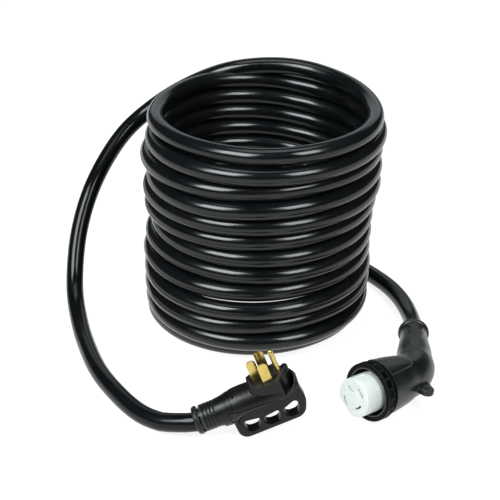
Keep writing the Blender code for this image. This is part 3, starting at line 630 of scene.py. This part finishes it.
# cup round the ground pin: the rim slopes down to the front, with a pocket behind it
WEDGE = [(-34.0, -6.4), (13.0, 22.2), (13.0, 40.0), (-34.0, 40.0)]
POCKET = [(14.9, -19.9), (19.0, -19.0), (23.5, -16.8), (26.8, -13.9), (29.6, -9.9), (31.4, -4.0), (31.4, 5.0), (28.8, 9.0), (14.9, 9.0)]
NOSE = [(12.0, -12.2), (17.5, -12.2), (22.3, -9.3), (25.1, -4.9), (25.1, 4.9), (22.3, 9.3), (17.5, 12.2), (12.0, 12.2)]
apply_boolean(body, [bm_prism(WEDGE, 14.6, 50.0, "x")], "DIFFERENCE")
apply_boolean(body, [bm_prism(rounded(POCKET, [1.0, 3, 3, 3, 3, 3, 3, 3, 1.0], 3), 0.0, 41.0, "z")], "DIFFERENCE")
apply_boolean(body, [tool(bm_prism(NOSE, -3.0, 21.0, "z"))], "UNION")
apply_boolean(body, [tool(bm_prism(BLOCK, 2.0, FACE_B, "z"))], "UNION")
boss = [[(24.8 + r * math.cos(2 * math.pi * j / 24), 6.0 + r * math.sin(2 * math.pi * j / 24), h) for j in range(24)]
        for r, h in ((4.5, 10), (4.5, FACE_B + 1.4), (4.1, FACE_B + 2.0), (3.2, FACE_B + 2.4))]
apply_boolean(body, [tool(bm_loft(boss))], "UNION")
apply_boolean(body, holes, "DIFFERENCE")
apply_boolean(body, [tool(bm_cyl((0, 0), "x", CORD_R + 0.5, -90, -60, 48))], "DIFFERENCE")
melt(body, 0.55, 3, 0.5, 0.40)
# moulding seam round the neck, and the step where the body meets the handle's front face
apply_boolean(body, [turned([(-55.7, 20.4), (-55.7, 26.0), (-54.5, 26.0), (-54.5, 20.4)], 64)], "DIFFERENCE")
SHELF = [(-63.0, 6.4), (-53.5, 4.2), (-34.0, 2.8), (-21.5, 2.6), (-10.0, 1.2), (0.0, -0.6), (9.5, -2.4), (14.2, -2.8)]
for side_y, drop, depth in ((-1, 1.9, 2.3), (-1, 60.0, 1.1), (1, 1.9, 2.3), (1, 60.0, 1.1)):
    band = list(SHELF) + [(a_, max(b_ - drop, -13.0)) for a_, b_ in reversed(SHELF)]
    lo_y, hi_y = (-30.0, -9.4) if side_y < 0 else (9.4, 30.0)
    skin = tool(bm_prism(band, lo_y, hi_y, "y"))
    core = bm_loft([superring(r_[0], r_[1] - depth, r_[2] - depth, r_[3] - depth * 0.5) for r_ in table(PLUG_SECTIONS[:-2], 4)])
    apply_boolean(skin, [core], "DIFFERENCE")
    apply_boolean(body, [skin], "DIFFERENCE")
RECESS = inset(BLOCK, 1.9)
apply_boolean(body, [bm_prism(RECESS, 12.0, 40.0, "z"),
                     bm_cyl((-50.2, -10.8), "z", 1.6, 9.0, 26.0, 16)], "DIFFERENCE")
set_mat(body, MAT_PLUG)
body.data.transform(PLUG_M)
for p in body.data.polygons:
    p.use_smooth = True
body.data.set_sharp_from_angle(angle=math.radians(50))
place(body, "cord_set", "plug_rubber", "plug_body")

# face plate
face = finish_mesh("plug_face_plate", bm_prism(inset(BLOCK, 2.15), 13.0, FACE_B + 0.3, "z", 0.6, 2), MAT_FACE)
cuts = []
for ca, cc in ((0.0, HOT_C), (0.0, -HOT_C)):
    cuts.append(bm_box((ca - 6.65, -cc - 1.25, 0), (ca + 6.65, -cc + 1.25, 40)))
cuts.append(bm_box((NEUTRAL_A - 6.65, -1.25, 0), (NEUTRAL_A + 6.65, 1.25, 40)))
cuts.append(bm_cyl((GROUND_A, 0), "z", 3.8, 0, 40, 32))
apply_boolean(face, cuts, "DIFFERENCE")
face.data.transform(PLUG_M)
set_mat(face, MAT_FACE)
face.data.set_sharp_from_angle(angle=math.radians(35))
place(face, "cord_set", "face_plastic", "plug_face")


def blade(name, ca, cc, along_x, length, node_name):
    w, t, top_z = 6.35, 0.95, FACE_B + length
    prof = [(-w, FACE_B - 12.5), (w, FACE_B - 12.5), (w, top_z - 3.5), (w - 0.3, top_z - 2.9), (w - 2.4, top_z - 0.3), (w - 3.0, top_z),
            (-w + 3.0, top_z), (-w + 2.4, top_z - 0.3), (-w + 0.3, top_z - 2.9), (-w, top_z - 3.5)]
    if along_x:
        bm = bm_prism([(p[0] + ca, p[1]) for p in prof], -cc - t, -cc + t, "y", 0.35, 2)
    else:
        bm = bm_prism([(p[0], p[1]) for p in prof], ca - t, ca + t, "x", 0.35, 2)
    ob = finish_mesh(name, bm, MAT_BLADE, PLUG_M, 30)
    return place(ob, "cord_set", "blades", node_name)


prongs = [blade("prong_line_1", 0.0, HOT_C, True, 29.3, "plug_line_1_blade"),
          blade("prong_line_2", 0.0, -HOT_C, True, 29.3, "plug_line_2_blade"),
          blade("prong_neutral", NEUTRAL_A, 0.0, True, 29.3, "plug_neutral_blade")]
pin = []
for h, rr in ((FACE_B - 12.5, 3.5), (FACE_B + 30.2, 3.5), (FACE_B + 32.2, 3.35), (FACE_B + 33.4, 2.9), (FACE_B + 34.2, 2.3), (FACE_B + 34.6, 1.6)):
    pin.append([(GROUND_A + rr * math.cos(2 * math.pi * j / 32), rr * math.sin(2 * math.pi * j / 32), h) for j in range(32)])
gp = finish_mesh("prong_ground", bm_loft(pin), MAT_BLADE, PLUG_M, 40)
prongs.append(place(gp, "cord_set", "blades", "plug_ground_pin"))

# strain relief: collar, a deep interrupted groove, then finer ribs
prof = [(-107.5, 15.4), (-107.2, 17.0), (-106.2, 18.2), (-104.6, 18.8), (-102.2, 19.0), (-101.2, 18.6), (-100.7, 17.8), (-97.0, 17.9)]
x = -97.0
for k in range(4):
    prof += [(x + 0.25, 17.9), (x + 3.6, 18.35), (x + 3.85, 18.1), (x + 3.95, 17.3), (x + 4.45, 17.3), (x + 4.55, 17.7)]
    x += 4.72
prof += [(-77.9, 17.9), (-77.7, 17.7), (-77.7, CORD_R + 0.6), (-107.0, CORD_R + 0.6), (-107.5, CORD_R + 1.1)]
relief = finish_mesh("plug_relief", turned(prof, 96), MAT_PLUG)


def arc_cut(x0, x1, r0, deg0, deg1, r1=24.0, seg=14):
    """Ring-segment cutter about local x; 0 degrees faces the viewer's side, 90 up."""
    outer = []
    for k in range(seg + 1):
        t = math.radians(deg0 + (deg1 - deg0) * k / seg)
        outer.append((-r1 * math.cos(t), r1 * math.sin(t)))
    for k in range(seg, -1, -1):
        t = math.radians(deg0 + (deg1 - deg0) * k / seg)
        outer.append((-r0 * math.cos(t), r0 * math.sin(t)))
    return bm_prism(outer, x0, x1, "x")


cuts = []
for k in range(3):
    cuts.append(arc_cut(-100.3, -97.2, 14.4, 18 + 120 * k - 70, 18 + 120 * k + 28))
apply_boolean(relief, cuts, "DIFFERENCE")
bevel(relief, 0.35, 2, 50)
set_mat(relief, MAT_PLUG)
relief.data.transform(PLUG_M)
place(relief, "cord_set", "plug_rubber", "plug_strain_relief")


# ------------------------------------------------------------------ connector
def to_conn(p):
    v = (Vector(p) - Vector(CONN_O)) * CORD_D
    return Vector((v.dot(AX_M), -v.dot(AX_S), v.dot(AX_V)))


BODY_FRONT_T = -13.8
neck0 = to_conn(NECK_START)
elbow = Vector((to_conn(ELBOW).x, 0.0, 0.0))
xdir = Vector((1, 0, 0))
ndir = (elbow - neck0).normalized()
bend = ndir.angle(xdir)
BEND_R = 46.0
cutb = BEND_R * math.tan(bend / 2)
arc_a, arc_b = elbow - ndir * cutb, elbow + xdir * cutb
perp = (xdir - ndir * xdir.dot(ndir)).normalized()
arc_c = arc_a + perp * BEND_R
E0 = (arc_a - neck0).length
E1 = E0 + BEND_R * bend
END_S = E1 + BODY_FRONT_T - arc_b.x
zup = ndir.cross(perp).normalized()
if zup.z < 0:
    zup = -zup


def centreline(s):
    if s <= E0:
        return neck0 + ndir * s, ndir.copy()
    if s <= E1:
        t = (s - E0) / BEND_R
        return arc_c - perp * BEND_R * math.cos(t) + ndir * BEND_R * math.sin(t), ndir * math.cos(t) + perp * math.sin(t)
    return arc_b + xdir * (s - E1), xdir.copy()


def cring(s, r, n=72, flat=0.0):
    p, d = centreline(s)
    w = zup.cross(d).normalized()
    ring = []
    for j in range(n):
        t = 2 * math.pi * j / n
        cz = min(math.sin(t), 1.0 - flat) if flat else math.sin(t)
        ring.append(tuple(p + (w * math.cos(t) + zup * cz) * r))
    return ring


outer = [(6.6, 19.2), (20, 19.9), (38, 21.6), (58, 23.8), (E0 - 16, 25.4), (E0, 27.2), (E0 + 18, 28.0),
         (E1 - 6, 28.8), (E1 + 4, 30.2), (E1 + 18, 33.4), (E1 + 36, 35.8), (END_S - 5.6, 37.6), (END_S - 4.6, 37.2), (END_S - 4.0, 36.2), (END_S, 36.2)]
inner = [(END_S, 31.8), (E1 + 22, 31.4), (E1 + 21.5, 27.4), (E1 + 4, 22.0), (E1 - 8, 19.0), (E0 + 8, 17.0), (42.5, 16.0),
         (41.5, CORD_R + 0.5), (6.6, CORD_R + 0.5)]
fine_outer = table(outer, 4)
conn = finish_mesh("connector_housing", bm_loft([cring(s, r) for s, r in fine_outer]), MAT_CONN)


def barrel_r(x):
    s = x - arc_b.x + E1
    for (s0, r0), (s1, r1) in zip(outer, outer[1:]):
        if s <= s1:
            return r0 + (r1 - r0) * (s - s0) / (s1 - s0)
    return outer[-1][1]


panel_rings = []
for x, half, crown in ((-75.0, 9.0, 0.2), (-71.0, 20.0, 0.9), (-62.0, 28.0, 1.1), (-44.0, 32.0, 1.2), (-19.6, 35.0, 1.3), (-18.6, 35.0, 1.3)):
    r = barrel_r(x)
    tt = [math.radians(90 - half + 2 * half * k / 12) for k in range(13)]
    # flatter than the barrel, so its long edges stand proud
    panel_rings.append([(x, (r + crown * (0.5 + 1.1 * abs(k - 6) / 6)) * math.cos(t), (r + crown * (0.5 + 1.1 * abs(k - 6) / 6)) * math.sin(t))
                        for k, t in enumerate(tt)]
                       + [(x, (r - 3) * math.cos(t), (r - 3) * math.sin(t)) for t in reversed(tt)])
LUG_C = to_conn((8.895, -10.685, 1.30))
inward = (Vector((elbow.x + 12.0, 0.0)) - LUG_C.xy).normalized()
sidev = Vector((-inward.y, inward.x))
LUG = []
for k in range(1, 17):
    t = math.pi * k / 16
    LUG.append(tuple(LUG_C.xy + sidev * (9.3 * math.cos(t)) - inward * (9.3 * math.sin(t))))
LUG += [tuple(LUG_C.xy - sidev * 15.0 + inward * 24.0), tuple(LUG_C.xy + sidev * 15.0 + inward * 24.0)]
apply_boolean(conn, [tool(bm_loft(panel_rings)), tool(bm_prism(LUG, LUG_C.z - 3.8, LUG_C.z + 3.8, "z", 1.0, 2))], "UNION")
melt(conn, 0.62, 3, 0.5, 0.40)
dots = []
for s, lat in ((14.0, 8.0), (14.0, -8.0), (31.0, 9.0), (31.0, -9.0)):
    p, d = centreline(s)
    w = zup.cross(d).normalized()
    c = p + w * lat
    dots.append(bm_cyl((c.x, c.y), "z", 1.9, c.z + 13.5, c.z + 24, 16))
dots.append(bm_cyl((LUG_C.x, LUG_C.y), "z", 4.2, LUG_C.z - 12, LUG_C.z + 12, 32))
apply_boolean(conn, dots, "DIFFERENCE")
apply_boolean(conn, [bm_loft([cring(s, r, 64) for s, r in [(END_S + 3, 31.8)] + inner[1:8] + [(41.5, CORD_R + 0.5), (2.0, CORD_R + 0.5)]])],
              "DIFFERENCE")
apply_boolean(conn, [turned([(BODY_FRONT_T - 5.0, 33.9), (BODY_FRONT_T + 0.4, 33.9), (BODY_FRONT_T + 0.4, 50), (BODY_FRONT_T - 5.0, 50)], 96)], "DIFFERENCE")
apply_boolean(conn, [turned([(BODY_FRONT_T - 5.6, 33.6), (-4.3, 33.6), (-4.0, 33.3), (-4.0, 31.8), (BODY_FRONT_T - 5.6, 31.8)], 96)], "UNION")
set_mat(conn, MAT_CONN)
# the recess behind the ring gets the ring's near-black material as painted shade for the shadowed gap
conn.data.materials.append(MAT_RING)
for p in conn.data.polygons:
    if BODY_FRONT_T - 5.4 < p.center.x and p.normal.x > -0.5 and math.hypot(p.center.y, p.center.z) > 31.0:
        p.material_index = 1
conn.data.transform(CONN_M)
for p in conn.data.polygons:
    p.use_smooth = True
conn.data.set_sharp_from_angle(angle=math.radians(48))
place(conn, "cord_set", "connector_rubber", "connector_body")

fl = [(-7.5, 14.6), (-7.3, 16.8), (-6.8, 19.6), (-5.8, 21.3), (-4.2, 22.0), (-1.8, 22.2), (0.0, 21.8), (1.0, 20.8), (1.6, 19.4), (6.4, 19.2),
      (6.4, CORD_R + 0.5), (-6.9, CORD_R + 0.5), (-7.5, CORD_R + 1.1)]
flange = finish_mesh("connector_flange", bm_loft([cring(s, r, 72) for s, r in fl], closed=True), MAT_CONN, CONN_M, 50)
place(flange, "cord_set", "connector_rubber", "connector_strain_relief")

# locking ring: rolled front lip, shallow grips
ring = finish_mesh("coupling_ring", turned([(-13.4, 37.8), (-13.0, 38.7), (-12.2, 39.7), (-1.3, 39.7), (-0.5, 39.4), (-0.1, 38.8), (0.0, 38.0),
                                            (0.0, 35.2), (-0.2, 34.6), (-0.8, 34.2), (-13.4, 34.2)], 144), MAT_RING)
cuts = []
NG = 18
for k in range(NG):
    t = 2 * math.pi * (k + 0.5) / NG
    bm = bm_prism(rounded([(-10.9, -4.6), (-2.9, -4.6), (-2.9, 4.6), (-10.9, 4.6)], 0.8, 2), 38.8, 44, "z")
    bmesh.ops.rotate(bm, verts=bm.verts, cent=(0, 0, 0), matrix=Matrix.Rotation(t, 3, "X"))
    cuts.append(bm)
apply_boolean(ring, cuts, "DIFFERENCE")
set_mat(ring, MAT_RING)
ring.data.transform(CONN_M)
ring.data.set_sharp_from_angle(angle=math.radians(28))
place(ring, "ring", "ring_plastic", "locking_ring")

# white contact carrier
CX0 = -50.0
prof = [(CX0, 24.4), (-40, 26.6), (10, 26.6), (22.4, 26.5), (23.8, 26.2), (24.6, 25.5), (24.9, 24.6)]
n = 96
carrier = finish_mesh("carrier", bm_loft([[(x, r * math.cos(2 * math.pi * j / n), r * math.sin(2 * math.pi * j / n)) for j in range(n)]
                                          for x, r in prof]), MAT_WHITE)


def polar(r, deg):
    return (-r * math.cos(math.radians(deg)), r * math.sin(math.radians(deg)))


def arc_plate(r, deg0, deg1, thick, seg=10, extra=0.0):
    e = math.degrees(extra / r)
    o = [polar(r + thick / 2 + extra, deg0 - e + (deg1 - deg0 + 2 * e) * k / seg) for k in range(seg + 1)]
    i = [polar(r - thick / 2 - extra, deg1 + e - (deg1 - deg0 + 2 * e) * k / seg) for k in range(seg + 1)]
    return o + i


CONTACTS = {"line_1": (16.8, -55.0, -15.0), "line_2": (14.6, -160.0, -112.0), "neutral": (16.8, 112.0, 155.0)}


def ell(off):
    ov, kv, fv = (Vector(polar(r, a)) for r, a in ((17.0, 52.0), (12.6, 52.0), (9.4, 74.0)))
    w = 1.1 + off
    d1, d2 = (kv - ov).normalized(), (fv - kv).normalized()
    n1, n2 = Vector((-d1.y, d1.x)), Vector((-d2.y, d2.x))
    ov, fv = ov - d1 * off, fv + d2 * off
    mb = (n1 + n2).normalized()
    mb = mb / mb.dot(n1)
    return [tuple(ov + n1 * w), tuple(kv + mb * w), tuple(fv + n2 * w), tuple(fv - n2 * w), tuple(kv - mb * w), tuple(ov - n1 * w)]


cuts = [bm_prism(arc_plate(r, d0, d1, 2.2, 10, 0.35), CX0 - 5, 30, "x") for r, d0, d1 in CONTACTS.values()]
cuts.append(bm_prism(ell(0.35), CX0 - 5, 30, "x"))
cuts.append(bm_prism([polar(26.6, -91), polar(26.6, -19), polar(60, -40), polar(60, -70)], -8.0, 30, "x"))
cuts.append(bm_prism([polar(24.8, 72), polar(24.8, 84), polar(40, 84), polar(40, 72)], -8.0, 30, "x"))
for deg in (0.0, 180.0):
    cuts.append(bm_cyl(polar(20.6, deg), "x", 2.3, CX0 - 5, -28.0, 20))
apply_boolean(carrier, cuts, "DIFFERENCE")
bevel(carrier, 0.3, 2, 40)
set_mat(carrier, MAT_WHITE)
carrier.data.transform(CONN_M)
place(carrier, "cord_set", "carrier_white", "contact_carrier")

# ------------------------------------------------------------------ carried-over nodes
for name, ob in NODES.items():
    if name.endswith("_contact"):
        set_mat(ob, MAT_CONTACT)
    elif name.startswith("carrier_screw"):
        set_mat(ob, MAT_SCREW)
    elif name == "mouth_seal":
        set_mat(ob, MAT_SEAL)
    elif name == "ring_retaining_clip":
        set_mat(ob, MAT_CLIP)
for tail, mat in (("line_1", "wire_black"), ("line_2", "wire_red"), ("neutral", "wire_white"), ("ground", "wire_green")):
    set_mat(NODES["plug_wire_" + tail], WIRE_MATS[mat])
    set_mat(NODES["connector_wire_" + tail], WIRE_MATS[mat])

# ------------------------------------------------------------------ stage
me = bpy.data.meshes.new("floor")
S = 9.0
me.from_pydata([(-S, -S, 0), (S, -S, 0), (S, S, 0), (-S, S, 0)], [], [(0, 1, 2, 3)])
floor = bpy.data.objects.new("floor", me)
bpy.context.scene.collection.objects.link(floor)
floor.location.z = -0.0002
m, nt, p = new_mat("floor")
p.inputs["Base Color"].default_value = (0.25, 0.25, 0.25, 1)
p.inputs["Roughness"].default_value = 0.9
p.inputs["Specular IOR Level"].default_value = 0.0
p.inputs["Emission Color"].default_value = (1, 1, 1, 1)
p.inputs["Emission Strength"].default_value = 0.86
me.materials.append(m)

world = bpy.data.worlds.new("studio")
bpy.context.scene.world = world
world.use_nodes = True
world.node_tree.nodes["Background"].inputs[0].default_value = (1, 1, 1, 1)
world.node_tree.nodes["Background"].inputs[1].default_value = 0.05


def area(name, loc, target, size, size_y, power, color=(0.95, 0.99, 1.0)):
    l = bpy.data.lights.new(name, "AREA")
    l.shape = "RECTANGLE"
    l.size, l.size_y = size, size_y
    l.energy = power
    l.color = color
    ob = bpy.data.objects.new(name, l)
    bpy.context.scene.collection.objects.link(ob)
    ob.location = loc
    ob.rotation_euler = (Vector(target) - Vector(loc)).to_track_quat("-Z", "Y").to_euler()
    return ob


area("softbox_left", (-1.55, -1.45, 2.1), (0, 0, 0.15), 1.45, 1.45, 104)
area("softbox_right", (1.35, -1.75, 2.1), (0, 0, 0.15), 1.05, 1.45, 62)
area("overhead", (0.0, 0.35, 2.9), (0, 0, 0), 2.0, 1.4, 22)
area("backdrop", (0.1, 2.6, 1.45), (0, 0, 0.1), 3.4, 1.3, 12.0, (0.86, 0.98, 1.0))
